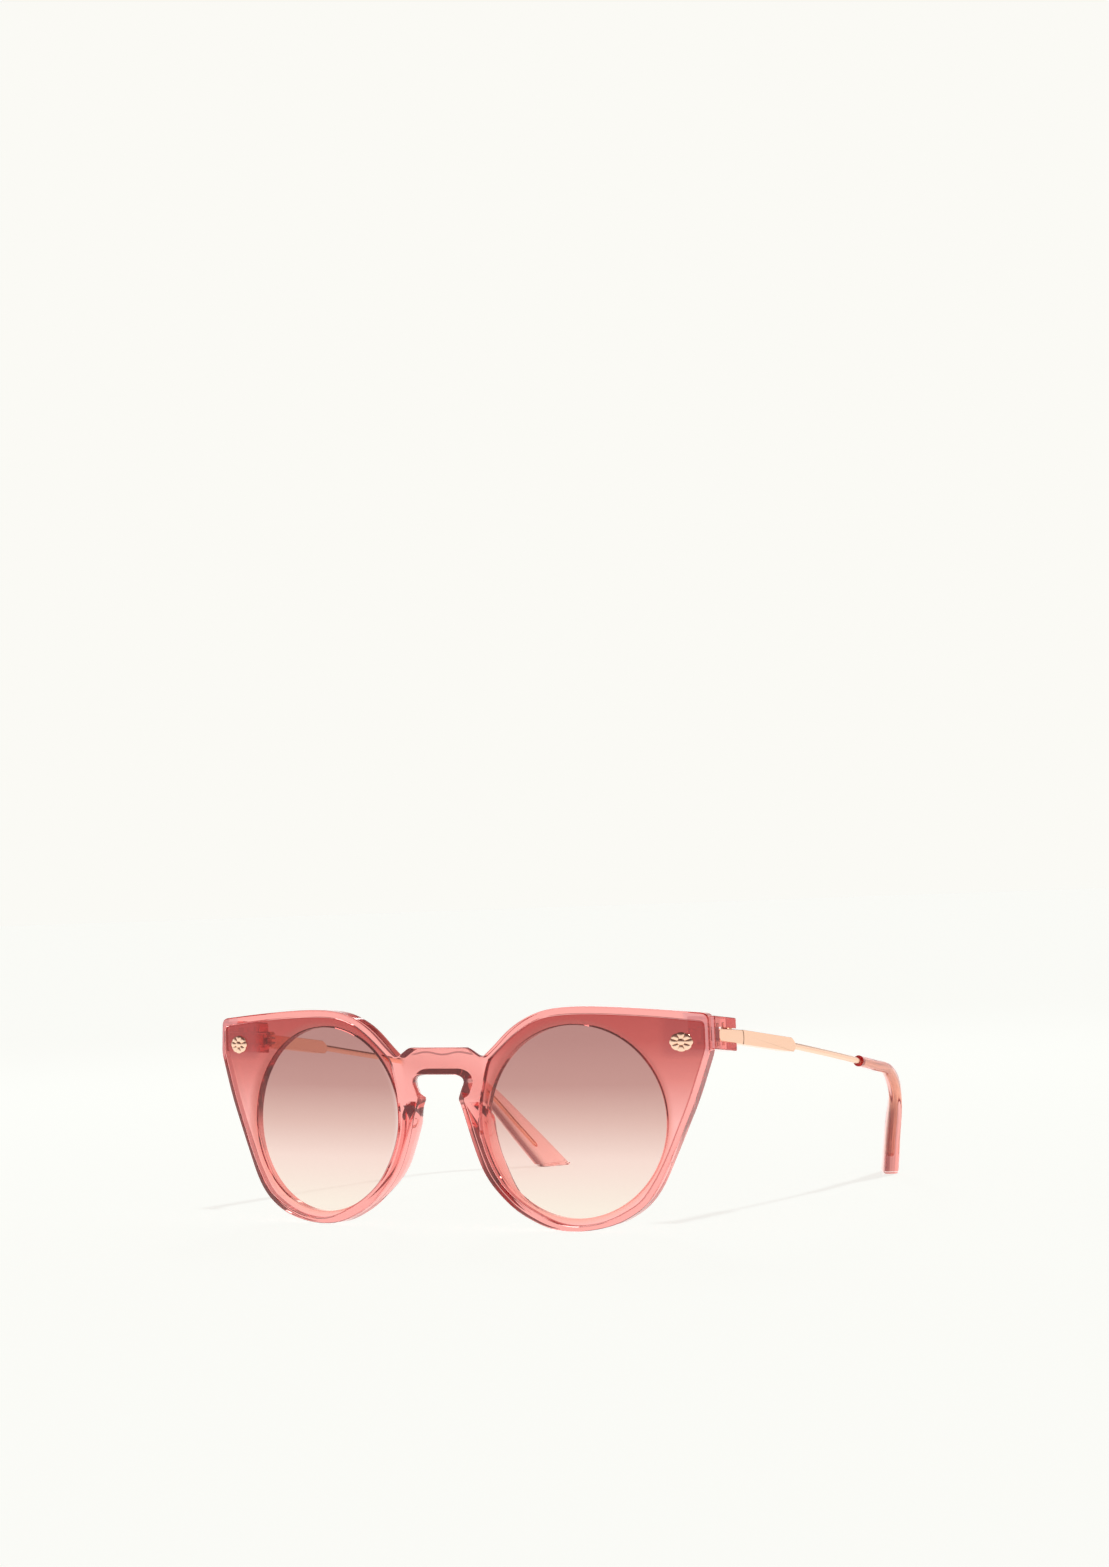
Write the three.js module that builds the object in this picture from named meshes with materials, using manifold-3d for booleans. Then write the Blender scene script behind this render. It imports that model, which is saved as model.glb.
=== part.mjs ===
// Cat eye sunglasses with flat front lenses, stud trims and folding metal temples.
// Millimetres. +X is the wearer's left, +Y runs back along the temples, +Z is up.
// The glasses rest on their lower rims and on the flat ends of the temple tips.
import * as THREE from 'three';
import { mergeVertices } from 'three/addons/utils/BufferGeometryUtils.js';
import Module from 'manifold-3d';

const wasm = await Module();
wasm.setup();

// Driving dimensions of the front. The outlines are drawn flat in u (sideways) and v (up),
// with n the depth behind the front surface, and are then bent round to the face.
const FACE_RADIUS = 372;
const FRONT_LEAN = THREE.MathUtils.degToRad(2.45);
const FRONT_DEPTH = 3.8;
const LENS_DEPTH = 1.35;
const RECESS_DEPTH = 1.5;
const LENS_GAP = 0.12;
const BEND_STEP = 10;
const APERTURE = { u: 36.5, v: 25.4, halfWidth: 23.4, halfHeight: 22.5 };
const BRIDGE_TOP = 42.9;
const KEYHOLE_TOP = 36.4;

// Stud trim on the upper outer corner of each lens.
const STUD = { u: 64.6, v: 43.75, halfWidth: 2.9, halfHeight: 2.3, dome: 0.9, edge: 0.45, postRadius: 0.7 };
const POST_GAP = 0.06;

// Nose pad: an ellipsoid standing on the back of the front, beside the aperture.
const PAD = { u: 11.9, v: 19.4, halfLength: 12.6, halfWidth: 3.2, height: 3.6, tilt: 0.33 };
const PAD_GAP = 0.05;
const PAD_APERTURE_GAP = 0.3;

// End piece block behind each outer corner, with the slot that holds the hinge bracket.
const SLOPE = 0.115;
const BLOCK = { inner: 64.2, outer: 71.5, start: 10.5, end: 20.8, bottom: 41.4, top: 49.1 };
const BLOCK_BEVEL = { length: 2.2, width: 0.9 };
const SLOT = { inner: 66, start: 12.4, bottom: 43.2, top: 46.65 };

// Hinge: the pin is upright and stands inside the line of the temple.
const HINGE = { x: 66.9, y: 24.4, z: 43.4 };
const SEAM_GAP = 0.1;
const KNUCKLE_RADIUS = 1.5;
const PIN_RADIUS = 0.7;
const PIN_GAP = 0.05;
const HALF_HINGE = 1.7;
const LUG_INNER = 0.875;
const WASHER = { inner: 0.575, outer: 0.825 };
const KNUCKLE_HALF = 0.525;
const BRACKET = { inner: 66.2, plateInner: 69, outer: 71.4, start: 12.8, rootEnd: 20.2, halfHeight: 1.42 };
const ANCHOR = { radius: 0.55, x: 67.5, bottom: 41.9, top: 47.3, places: [14.6, 17.2] };
const SCREW_HEAD = { radius: 1.25, height: 0.5, slotWidth: 0.36, slotDepth: 0.22 };

// Temple: a flat sleeve, a round wire and a plastic tip.
const SLEEVE = { inner: 68.6, outer: 71.4, length: 25.7, slope: 0.144, halfHeight: 1.7 };
const WIRE_RADIUS = 0.8;
const CORE_RADIUS = 0.6;
const WIRE_GAP = 0.08;
const WIRE_PATH = [
  new THREE.Vector3(70, 45.5, 40.5),
  new THREE.Vector3(69.9, 60, 38),
  new THREE.Vector3(69.5, 75, 35.4),
  new THREE.Vector3(69, 88, 33.1),
];
const TIP_PATH = [
  WIRE_PATH[3],
  new THREE.Vector3(68, 99, 31.2),
  new THREE.Vector3(66.4, 110, 28.9),
  new THREE.Vector3(64, 118.6, 22.4),
  new THREE.Vector3(58.6, 127, 11),
  new THREE.Vector3(53.4, 135.2, 0),
  new THREE.Vector3(50.1, 140.3, -6.8),
];
const TIP_MOUTH_RADIUS = 1.4;
const TIP_HALF_THICKNESS = 2.1;
const TIP_HALF_HEIGHT = 4.2;
const CORE_SHARE = 0.78;
const CORE_HOLE_SHARE = 0.784;

const PINK = { color: 0xe98680, roughness: 0.12, metalness: 0 };
const TINT = { color: 0xbf8f86, roughness: 0.05, metalness: 0 };
const GOLD = { color: 0xeec3a2, roughness: 0.22, metalness: 1 };
const POLYMER = { color: 0xf2eee6, roughness: 0.5, metalness: 0 };

// ---- small tools -------------------------------------------------------------------

function toSolid(geometry) {
  const bare = geometry.clone();
  bare.deleteAttribute('uv');
  bare.deleteAttribute('normal');
  const welded = mergeVertices(bare, 1e-4);
  const mesh = new wasm.Mesh({
    numProp: 3,
    vertProperties: new Float32Array(welded.attributes.position.array),
    triVerts: new Uint32Array(welded.index.array),
  });
  return new wasm.Manifold(mesh);
}

function toGeometry(solid) {
  const mesh = solid.getMesh();
  const geometry = new THREE.BufferGeometry();
  geometry.setAttribute('position', new THREE.BufferAttribute(new Float32Array(mesh.vertProperties), 3));
  geometry.setIndex(new THREE.BufferAttribute(new Uint32Array(mesh.triVerts), 1));
  return geometry;
}

// A box from one corner to the opposite one.
function boxSolid(low, high) {
  const size = high.map((value, axis) => value - low[axis]);
  const geometry = new THREE.BoxGeometry(...size);
  geometry.translate(...high.map((value, axis) => (value + low[axis]) / 2));
  return toSolid(geometry);
}

// An upright round bar.
function barSolid(x, y, bottom, top, radius, sides = 24) {
  const geometry = new THREE.CylinderGeometry(radius, radius, top - bottom, sides);
  geometry.rotateX(Math.PI / 2);
  geometry.translate(x, y, (top + bottom) / 2);
  return toSolid(geometry);
}

// A flat outline in u and v made solid from one depth to another.
function plateSolid(shape, from, to, steps = 6) {
  const geometry = new THREE.ExtrudeGeometry(shape, {
    depth: to - from,
    bevelEnabled: false,
    curveSegments: steps,
  });
  geometry.translate(0, 0, from);
  return toSolid(geometry);
}

// A side profile in y and z made solid from one x to another.
function profileSolid(points, from, to) {
  const shape = new THREE.Shape(points.map(([y, z]) => new THREE.Vector2(y, z)));
  const geometry = new THREE.ExtrudeGeometry(shape, { depth: to - from, bevelEnabled: false });
  const turn = new THREE.Matrix4().set(0, 0, 1, 0, 1, 0, 0, 0, 0, 1, 0, 0, 0, 0, 0, 1);
  geometry.applyMatrix4(turn);
  geometry.translate(from, 0, 0);
  return toSolid(geometry);
}

function sweepSolid(path, radius, steps) {
  const circle = new THREE.Shape().absarc(0, 0, radius, 0, Math.PI * 2);
  const geometry = new THREE.ExtrudeGeometry(circle, { extrudePath: path, steps, curveSegments: 7 });
  return toSolid(geometry);
}

// Cuts every triangle that crosses the plane u = limit, so that a flat sheet can bend there.
function splitTriangles(triangles, limit) {
  const pieces = [];
  const crossing = (a, b) => {
    const [low, high] = a[0] < b[0] ? [a, b] : [b, a];
    const share = (limit - low[0]) / (high[0] - low[0]);
    return low.map((value, axis) => (axis === 0 ? limit : value + share * (high[axis] - value)));
  };
  for (const triangle of triangles) {
    const sides = triangle.map((point) => Math.sign(Math.round((point[0] - limit) * 1e4)));
    if (!sides.includes(1) || !sides.includes(-1)) {
      pieces.push(triangle);
      continue;
    }
    const below = [];
    const above = [];
    triangle.forEach((point, k) => {
      const next = (k + 1) % 3;
      if (sides[k] <= 0) below.push(point);
      if (sides[k] >= 0) above.push(point);
      if (sides[k] * sides[next] < 0) {
        const cut = crossing(point, triangle[next]);
        below.push(cut);
        above.push(cut);
      }
    });
    for (const polygon of [below, above]) {
      for (let k = 1; k + 1 < polygon.length; k += 1) {
        pieces.push([polygon[0], polygon[k], polygon[k + 1]]);
      }
    }
  }
  return pieces;
}

// Where a flat point (u, v, n) lies on the curved, leaning front.
function bendPoint([u, v, n]) {
  const turn = u / FACE_RADIUS;
  const x = (FACE_RADIUS - n) * Math.sin(turn);
  const y = FACE_RADIUS * (1 - Math.cos(turn)) + n * Math.cos(turn);
  return [
    x,
    y * Math.cos(FRONT_LEAN) + v * Math.sin(FRONT_LEAN),
    v * Math.cos(FRONT_LEAN) - y * Math.sin(FRONT_LEAN),
  ];
}

// Bends a flat solid to the face. Depth becomes +Y, so the triangles are turned over.
function bendSolid(flat) {
  const mesh = flat.getMesh();
  const point = (k) => Array.from(mesh.vertProperties.slice(3 * k, 3 * k + 3));
  let triangles = [];
  for (let k = 0; k < mesh.triVerts.length; k += 3) {
    triangles.push([point(mesh.triVerts[k]), point(mesh.triVerts[k + 1]), point(mesh.triVerts[k + 2])]);
  }
  const us = triangles.flat().map((corner) => corner[0]);
  const first = Math.ceil(Math.min(...us) / BEND_STEP) * BEND_STEP;
  for (let limit = first; limit < Math.max(...us); limit += BEND_STEP) {
    triangles = splitTriangles(triangles, limit);
  }
  const corners = triangles.flatMap(([a, b, c]) => [c, b, a].map(bendPoint)).flat();
  const geometry = new THREE.BufferGeometry();
  geometry.setAttribute('position', new THREE.Float32BufferAttribute(corners, 3));
  return toSolid(geometry);
}

function mirrored(geometry) {
  const copy = geometry.clone();
  copy.scale(-1, 1, 1);
  const index = copy.index.array;
  for (let k = 0; k < index.length; k += 3) {
    [index[k], index[k + 2]] = [index[k + 2], index[k]];
  }
  return copy;
}

const spots = (...pairs) => pairs.map(([u, v]) => new THREE.Vector2(u, v));

// ---- outlines of the front, flat -------------------------------------------------------

// Half of the frame's outline, from the top of the bridge round to the keyhole.
function halfFrameOutline() {
  const path = new THREE.Path();
  path.moveTo(0, BRIDGE_TOP);
  path.lineTo(7.6, BRIDGE_TOP);
  path.quadraticCurveTo(8.4, BRIDGE_TOP, 9.1, 42.5);
  path.lineTo(11.6, 40.9);
  path.quadraticCurveTo(12.4, 40.4, 13.2, 41);
  path.splineThru(spots([15.9, 43.3], [19.2, 46.3], [22.5, 48.6], [26.5, 50.5], [31, 51.7],
    [37, 52.2], [45, 52.1], [57, 51.4], [69.6, 50.4]));
  path.quadraticCurveTo(71.1, 50.2, 71.3, 48.8);
  path.lineTo(71.5, 42.6);
  path.quadraticCurveTo(71.5, 41.4, 71.1, 40.3);
  path.splineThru(spots([68, 31.5], [65, 24.6], [61.9, 17.9], [58.6, 11.1], [55.6, 7], [52, 4.1],
    [47.5, 1.9], [42, 0.5], [36, 0], [30.4, 0.6], [25.5, 2.4], [20.7, 5.1], [16.2, 9], [13.3, 12.5],
    [11.4, 16], [9.4, 21], [8, 25], [6.8, 28.3], [5.8, 30.6]));
  path.splineThru(spots([6.5, 32.6], [7.35, 34.4]));
  path.quadraticCurveTo(7.6, 36.1, 4.6, KEYHOLE_TOP);
  path.lineTo(0, KEYHOLE_TOP);
  return thinned(pathPoints(path));
}

function lensOutline() {
  const path = new THREE.Path();
  path.moveTo(14.7, 40.2);
  path.splineThru(spots([17, 42.2], [20, 44.7], [23.2, 47], [26.6, 48.8], [31, 50], [37, 50.5],
    [45, 50.4], [57, 49.7], [69.2, 48.5]));
  path.quadraticCurveTo(70.1, 48.4, 70.2, 47.4);
  path.lineTo(70.3, 42.8);
  path.quadraticCurveTo(70.3, 41.9, 70, 41.1);
  path.splineThru(spots([66.4, 31], [63.2, 23.5], [60.2, 16.8], [57.2, 11.5], [54, 7.3], [50.6, 5],
    [46.5, 3], [42, 1.7], [36.7, 1.2], [31.8, 2], [27, 4], [22.3, 6.6], [18, 10.2], [14.8, 14.8],
    [12.6, 19.8], [11.6, 25], [12, 31], [13.2, 36.2]));
  path.quadraticCurveTo(13.9, 39.4, 14.7, 40.2);
  return thinned(pathPoints(path));
}

// Points along a path: each spline gets three steps between its knots, each corner four.
function pathPoints(path) {
  const points = [];
  for (const curve of path.curves) {
    const knots = curve.isSplineCurve ? curve.points.length - 1 : 1;
    const steps = curve.isLineCurve ? 1 : 3 * knots + (curve.isSplineCurve ? 0 : 1);
    points.push(...curve.getPoints(steps));
  }
  return points;
}

// Drops points that repeat the one before.
function thinned(points) {
  return points.filter((point, k) => k === 0 || point.distanceTo(points[k - 1]) > 1e-3);
}

// A closed outline moved inwards by a distance, for a turn that runs clockwise.
function inset(points, distance) {
  const ring = points.filter((point, k) => k === 0 || point.distanceTo(points[0]) > 1e-3);
  return ring.map((point, k) => {
    const before = ring[(k + ring.length - 1) % ring.length];
    const after = ring[(k + 1) % ring.length];
    const along = after.clone().sub(before).normalize();
    return new THREE.Vector2(point.x + along.y * distance, point.y - along.x * distance);
  });
}

function frameShape() {
  const half = halfFrameOutline();
  const inner = half.slice(1, -1).map((point) => new THREE.Vector2(-point.x, point.y));
  return new THREE.Shape([...half, ...inner.reverse()]);
}

function apertureShape(grow = 0) {
  const hole = new THREE.Shape();
  const { u, v, halfWidth, halfHeight } = APERTURE;
  hole.absellipse(u, v, halfWidth + grow, halfHeight + grow, 0, Math.PI * 2);
  return new THREE.Shape(hole.getPoints(30).slice(0, -1));
}

// ---- pieces of the front -----------------------------------------------------------------

const lensPoints = lensOutline();

// Side profile of a sloping bar: heights are given at y = 12 and fall off towards the back.
function slopingProfile(start, end, bottom, top) {
  const drop = (y) => (y - 12) * SLOPE;
  return [[start, bottom - drop(start)], [end, bottom - drop(end)],
    [end, top - drop(end)], [start, top - drop(start)]];
}

function endPieceBlock() {
  const { inner, outer, start, end, bottom, top } = BLOCK;
  const block = profileSolid(slopingProfile(start, end, bottom, top), inner, outer);
  const { length, width } = BLOCK_BEVEL;
  const plan = new THREE.Shape(spots([inner - 1, start - 1], [outer + 0.01, start - 1],
    [outer + 0.01, end - length], [outer - width, end], [inner - 1, end]));
  const bevelled = plateSolid(plan, bottom - 5, top + 5);
  return block.intersect(bevelled);
}

function endPieceSlot() {
  const profile = slopingProfile(SLOT.start, BLOCK.end + 2, SLOT.bottom, SLOT.top);
  return profileSolid(profile, SLOT.inner, BLOCK.outer + 2);
}

function anchorPin(y, gap = 0) {
  return barSolid(ANCHOR.x, y, ANCHOR.bottom - gap, ANCHOR.top + gap, ANCHOR.radius + gap, 16);
}

function anchorHoles() {
  return ANCHOR.places.map((y) => anchorPin(y, PIN_GAP)).reduce((sum, hole) => sum.add(hole));
}

function frameFront() {
  const sides = [1, -1];
  let flat = plateSolid(frameShape(), 0, FRONT_DEPTH);
  const recess = plateSolid(new THREE.Shape(lensPoints), -1, RECESS_DEPTH);
  const aperture = plateSolid(apertureShape(), -1, FRONT_DEPTH + 1);
  const opening = recess.add(aperture);
  for (const side of sides) {
    flat = flat.subtract(side > 0 ? opening : opening.mirror([1, 0, 0]));
  }
  let front = bendSolid(flat);
  const block = endPieceBlock();
  const hollow = endPieceSlot().add(anchorHoles());
  for (const side of sides) {
    front = front.add(side > 0 ? block : block.mirror([1, 0, 0]));
    front = front.subtract(side > 0 ? hollow : hollow.mirror([1, 0, 0]));
  }
  return toGeometry(front);
}

function lens() {
  const blank = plateSolid(new THREE.Shape(inset(lensPoints, LENS_GAP)), 0, LENS_DEPTH);
  const hole = new THREE.CylinderGeometry(1, 1, 4, 32);
  hole.scale(STUD.postRadius + POST_GAP, 1, STUD.postRadius + POST_GAP);
  hole.rotateX(Math.PI / 2);
  hole.translate(STUD.u, STUD.v, 0);
  return toGeometry(bendSolid(blank.subtract(toSolid(hole))));
}

// Plain oval dome with a shallow step, on a round post that goes through the lens.
function stud() {
  const { u, v, halfWidth, halfHeight, dome, edge, postRadius } = STUD;
  const crown = [0, 0.2, 0.4, 0.6, 0.78].map((r) => [r, edge + (dome - edge) * Math.sqrt(1 - (r / 0.8) ** 2)]);
  const outline = [...crown, [0.8, 0.42], [0.95, 0.38], [1, 0.28], [1, 0.02], [0, 0.02]];
  const head = new THREE.LatheGeometry(outline.map(([r, height]) => new THREE.Vector2(r, height)).reverse(), 28);
  head.scale(halfWidth, 1, halfHeight);
  head.rotateX(-Math.PI / 2);
  head.translate(u, v, 0);
  const post = new THREE.CylinderGeometry(postRadius, postRadius, LENS_DEPTH + 0.1, 32);
  post.rotateX(Math.PI / 2);
  post.translate(u, v, (LENS_DEPTH - 0.1) / 2);
  return toGeometry(bendSolid(toSolid(head).add(toSolid(post))));
}

function nosePad() {
  const blob = new THREE.SphereGeometry(1, 28, 20);
  blob.scale(PAD.halfWidth, PAD.halfLength, PAD.height);
  blob.rotateZ(PAD.tilt);
  const base = FRONT_DEPTH + PAD_GAP;
  blob.translate(PAD.u, PAD.v, base);
  const room = plateSolid(new THREE.Shape(spots([0, 0], [40, 0], [40, 40], [0, 40])), base, base + 12);
  const aperture = plateSolid(apertureShape(PAD_APERTURE_GAP), 0, 20);
  return toGeometry(bendSolid(toSolid(blob).intersect(room).subtract(aperture)));
}

// ---- hinge -------------------------------------------------------------------------------

function hingeBar(bottom, top, radius) {
  return barSolid(HINGE.x, HINGE.y, HINGE.z + bottom, HINGE.z + top, radius);
}

// A flat ear round the pin, carried by a web on the front or the temple side.
function hingeEar(bottom, top, from, to) {
  const low = [HINGE.x, HINGE.y + from, HINGE.z + bottom];
  const high = [BRACKET.plateInner + 0.5, HINGE.y + to, HINGE.z + top];
  return hingeBar(bottom, top, KNUCKLE_RADIUS).add(boxSolid(low, high));
}

function hingeBracket() {
  const seam = HINGE.y - SEAM_GAP;
  const drop = (y) => (HINGE.y - y) * SLOPE;
  const lower = (y) => HINGE.z - BRACKET.halfHeight + drop(y);
  const upper = (y) => HINGE.z + BRACKET.halfHeight + drop(y);
  const { inner, plateInner, outer, start, rootEnd } = BRACKET;
  const rounded = [[start, lower(start) + 0.8], [start + 0.8, lower(start)], [seam, HINGE.z - HALF_HINGE],
    [seam, HINGE.z + HALF_HINGE], [start + 0.5, upper(start)], [start, upper(start) - 0.5]];
  const plate = profileSolid(rounded, plateInner, outer);
  const root = profileSolid([[start + 0.6, lower(start + 0.6) + 0.2], [rootEnd, lower(rootEnd) + 0.2],
    [rootEnd, upper(rootEnd) - 0.2], [start + 0.6, upper(start + 0.6) - 0.2]], inner, plateInner + 0.5);
  const lugs = hingeEar(LUG_INNER, HALF_HINGE, -3.2, -SEAM_GAP)
    .add(hingeEar(-HALF_HINGE, -LUG_INNER, -3.2, -SEAM_GAP));
  return toGeometry(plate.add(root).add(lugs)
    .subtract(hingeBar(-4, 4, PIN_RADIUS + PIN_GAP))
    .subtract(anchorHoles()));
}

function hingeWasher(bottom, top) {
  return toGeometry(hingeBar(bottom, top, KNUCKLE_RADIUS - 0.1).subtract(hingeBar(-4, 4, PIN_RADIUS + PIN_GAP)));
}

function hingeScrew() {
  const seat = HALF_HINGE + 0.03;
  const { radius, height, slotWidth, slotDepth } = SCREW_HEAD;
  const profile = [[0, -HALF_HINGE], [PIN_RADIUS - 0.15, -HALF_HINGE], [PIN_RADIUS, -HALF_HINGE + 0.15],
    [PIN_RADIUS, seat], [radius, seat], [radius, seat + height * 0.5], [radius * 0.8, seat + height], [0, seat + height]];
  const turned = new THREE.LatheGeometry(profile.map(([r, height]) => new THREE.Vector2(r, height)), 32);
  turned.rotateX(Math.PI / 2);
  turned.translate(HINGE.x, HINGE.y, HINGE.z);
  const top = HINGE.z + seat + height;
  const slot = boxSolid([HINGE.x - 2, HINGE.y - slotWidth / 2, top - slotDepth],
    [HINGE.x + 2, HINGE.y + slotWidth / 2, top + 1]);
  return toGeometry(toSolid(turned).subtract(slot));
}

// ---- temple ------------------------------------------------------------------------------

const wirePath = new THREE.CatmullRomCurve3([...WIRE_PATH, TIP_PATH[1]]);
const tipPath = new THREE.CatmullRomCurve3(TIP_PATH);

// Part of a curve, from one share of its length to another.
function stretch(curve, from, to, count = 24) {
  const points = [];
  for (let k = 0; k <= count; k += 1) {
    points.push(curve.getPointAt(from + (to - from) * (k / count)));
  }
  return new THREE.CatmullRomCurve3(points);
}

// The wire from the sleeve into the tip's mouth, with its thinner core inside the tip.
function wireSolid(gap) {
  const endShare = 0.85;
  const coreEnd = gap > 0 ? CORE_HOLE_SHARE : CORE_SHARE;
  const body = sweepSolid(stretch(wirePath, 0, endShare), WIRE_RADIUS + gap, 9);
  const core = sweepSolid(stretch(tipPath, 0.01, coreEnd), CORE_RADIUS + gap, 18);
  return body.add(core);
}

function templeSleeve() {
  const start = HINGE.y + SEAM_GAP;
  const end = HINGE.y + SLEEVE.length;
  const { slope, halfHeight: half } = SLEEVE;
  const level = (y) => HINGE.z - (y - HINGE.y) * slope;
  const profile = [[start, HINGE.z - half], [end - 2.2, level(end) - half - 0.05], [end - 0.7, level(end) - 1.2],
    [end, level(end) - 0.4], [end - 0.3, level(end) + 0.6], [end - 1.6, level(end) + half], [start, HINGE.z + half]];
  const body = profileSolid(profile, SLEEVE.inner, SLEEVE.outer);
  const ear = hingeEar(-KNUCKLE_HALF, KNUCKLE_HALF, SEAM_GAP, 3);
  return toGeometry(body.add(ear)
    .subtract(hingeBar(-4, 4, PIN_RADIUS + PIN_GAP))
    .subtract(wireSolid(WIRE_GAP)));
}

// Joins rings of points, each running clockwise seen along the loft, into a closed skin.
function loftSolid(rings) {
  const count = rings[0].length;
  const corners = rings.flat();
  const faces = [];
  for (let ring = 0; ring + 1 < rings.length; ring += 1) {
    for (let k = 0; k < count; k += 1) {
      const a = ring * count + k;
      const b = ring * count + ((k + 1) % count);
      faces.push(a, a + count, b, b, a + count, b + count);
    }
  }
  const last = corners.length - count;
  for (let k = 1; k + 1 < count; k += 1) {
    faces.push(0, k, k + 1, last, last + k + 1, last + k);
  }
  const geometry = new THREE.BufferGeometry();
  geometry.setAttribute('position', new THREE.Float32BufferAttribute(corners.flatMap((p) => p.toArray()), 3));
  geometry.setIndex(faces);
  return toSolid(geometry);
}

// Cross sections of the tip: round at the mouth, a tall flat paddle at the end.
function tipRings(ringCount = 26, around = 20) {
  const rings = [];
  const up = new THREE.Vector3(0, 0, 1);
  for (let ring = 0; ring <= ringCount; ring += 1) {
    const share = ring / ringCount;
    const centre = tipPath.getPointAt(share);
    const along = tipPath.getTangentAt(share);
    const side = along.clone().cross(up).normalize();
    const rise = side.clone().cross(along).normalize();
    const flare = THREE.MathUtils.smoothstep(share, 0.22, 1);
    const swell = THREE.MathUtils.smoothstep(share, 0.1, 0.9);
    const width = THREE.MathUtils.lerp(TIP_MOUTH_RADIUS, TIP_HALF_THICKNESS, swell);
    const height = THREE.MathUtils.lerp(width, TIP_HALF_HEIGHT, flare);
    const points = [];
    for (let k = 0; k < around; k += 1) {
      const turn = (2 * Math.PI * k) / around;
      points.push(centre.clone()
        .addScaledVector(side, width * Math.cos(turn))
        .addScaledVector(rise, height * Math.sin(turn)));
    }
    rings.push(points);
  }
  return rings;
}

function templeTip(floor) {
  const below = boxSolid([0, 0, -100], [200, 300, floor]);
  return toGeometry(loftSolid(tipRings()).subtract(wireSolid(WIRE_GAP)).subtract(below));
}

// ---- the assembly --------------------------------------------------------------------------

const glasses = new THREE.Group();

function addPiece(name, geometry, look) {
  const mesh = new THREE.Mesh(geometry, new THREE.MeshStandardMaterial(look));
  mesh.name = name;
  glasses.add(mesh);
}

function addPair(name, geometry, look) {
  addPiece(`${name}_left`, geometry, look);
  addPiece(`${name}_right`, mirrored(geometry), look);
}

const frontGeometry = frameFront();
frontGeometry.computeBoundingBox();
const floor = frontGeometry.boundingBox.min.z;

addPiece('frame_front', frontGeometry, PINK);
addPair('nose_pad', nosePad(), PINK);
addPair('lens', lens(), TINT);
addPair('trim_stud', stud(), GOLD);
addPair('hinge_bracket', hingeBracket(), GOLD);
addPair('front_bracket_pin', toGeometry(anchorPin(ANCHOR.places[0])), GOLD);
addPair('rear_bracket_pin', toGeometry(anchorPin(ANCHOR.places[1])), GOLD);
addPair('hinge_screw', hingeScrew(), GOLD);
addPair('upper_hinge_washer', hingeWasher(WASHER.inner, WASHER.outer), POLYMER);
addPair('lower_hinge_washer', hingeWasher(-WASHER.outer, -WASHER.inner), POLYMER);
addPair('temple_sleeve', templeSleeve(), GOLD);
addPair('temple_wire', toGeometry(wireSolid(0)), GOLD);
addPair('temple_tip', templeTip(floor), PINK);

// The origin is the middle of the bounding box's bottom.
const bounds = new THREE.Box3().setFromObject(glasses);
glasses.position.set(0, -(bounds.min.y + bounds.max.y) / 2, -bounds.min.z);

export default glasses;
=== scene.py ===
from math import atan2, copysign, cos, pi, radians, sin, sqrt, tau

import bmesh
import bpy
import numpy as np
from mathutils import Matrix, Vector
from mathutils.geometry import delaunay_2d_cdt


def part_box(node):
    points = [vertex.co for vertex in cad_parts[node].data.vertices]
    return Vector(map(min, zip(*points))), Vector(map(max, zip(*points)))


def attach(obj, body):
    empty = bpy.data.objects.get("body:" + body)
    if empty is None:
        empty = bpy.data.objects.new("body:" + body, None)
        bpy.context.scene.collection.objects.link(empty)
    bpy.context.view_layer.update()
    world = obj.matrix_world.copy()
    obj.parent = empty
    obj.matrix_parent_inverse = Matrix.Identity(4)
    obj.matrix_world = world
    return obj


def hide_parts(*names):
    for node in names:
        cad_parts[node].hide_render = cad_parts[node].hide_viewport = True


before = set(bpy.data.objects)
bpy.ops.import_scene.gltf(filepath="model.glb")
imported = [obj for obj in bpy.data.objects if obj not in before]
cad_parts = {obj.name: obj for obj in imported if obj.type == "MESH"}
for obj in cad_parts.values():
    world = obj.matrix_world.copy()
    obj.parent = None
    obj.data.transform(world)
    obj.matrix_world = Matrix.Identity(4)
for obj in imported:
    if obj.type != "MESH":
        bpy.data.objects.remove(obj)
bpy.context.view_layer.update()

MM = 0.001

# ---- sizes, in millimetres ----
# The front is drawn flat in u (sideways), v (up) and n (depth behind the front surface),
# then bent round to the face and leaned back.
FACE_RADIUS = 372.0
FRONT_LEAN = radians(2.45)
FRONT_DEPTH = 3.8
RECESS_DEPTH = 1.5
LENS_DEPTH = 1.35
LENS_GAP = 0.12
RIM_ROUND = 0.42
BACK_ROUND = 0.22
APERTURE = dict(u=36.5, v=25.4, half_width=23.4, half_height=22.5)
STUD = dict(u=64.6, v=43.75, half_width=2.9, half_height=2.25, petals=8)
PAD_HEIGHT = 3.5
PAD_FOOT = 0.4
PAD_TOP = dict(u=9.9, low=24.5, high=28.7, half_width=1.9, splay=0.38)
SLOPE = 0.115
SLOPE_START = 12
BLOCK = dict(inner=64.2, outer=71.5, start=10.5, end=20.8, bottom=41.4, top=49.1)
SLOT = dict(inner=66.0, start=12.4, bottom=43.2, top=46.65)
HINGE = Vector((66.9, 24.4, 43.4))
HALF_HINGE = 1.7
BRACKET = dict(start=12.8, root_end=20.2, half_height=1.42, plate=(69.0, 71.4), root=(66.2, 69.6))
LUG_INSIDE = 0.875
HALF_KNUCKLE = 0.525
KNUCKLE_RADIUS = 1.5
WASHERS = dict(upper=(0.585, 0.815), lower=(-0.815, -0.585))
PIN_RADIUS = 0.7
PIN_BORE = 0.74
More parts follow.
